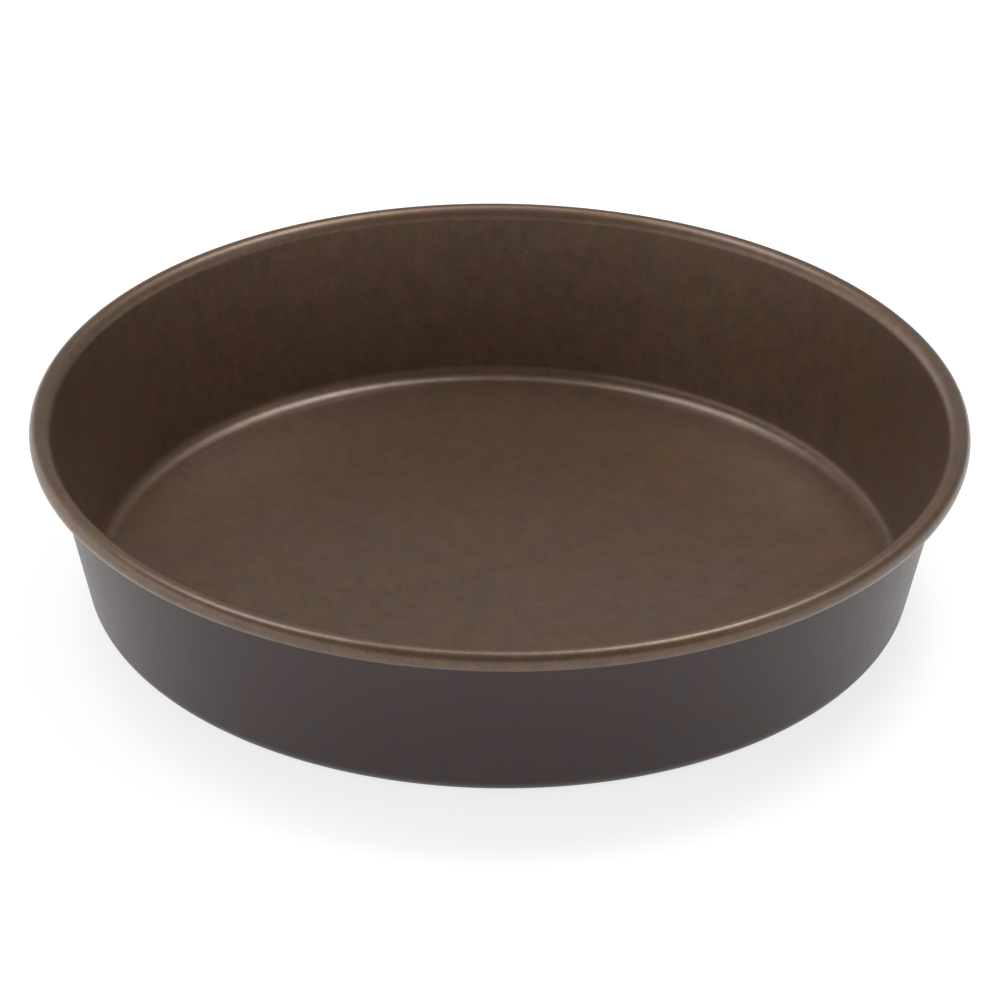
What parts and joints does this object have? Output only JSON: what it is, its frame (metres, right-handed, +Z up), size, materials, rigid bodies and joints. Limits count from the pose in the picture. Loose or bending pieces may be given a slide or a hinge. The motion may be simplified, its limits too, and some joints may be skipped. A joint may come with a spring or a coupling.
{
  "type": "flan pan",
  "caption": "Round plain-sided flan pan with a flat base, sloping wall and wired rolled rim, bronze non-stick inside and dark coating outside.",
  "frame": {"origin": "centre of the flat underside, on the surface the pan stands on", "axes": "+Z up along the pan's axis of symmetry; +Y away from the picture's viewer, +X to the viewer's right"},
  "size_m": [0.25, 0.25, 0.05],
  "materials": {
    "steel_sheet": "satin",
    "steel_wire": "satin",
    "bronze_nonstick": "satin",
    "aubergine_coating": "satin"
  },
  "bodies": {
    "root": {"pan_body": "steel_sheet", "rim_wire": "steel_wire", "nonstick_lining": "bronze_nonstick", "outer_coating": "aubergine_coating"}
  },
  "joints": []
}
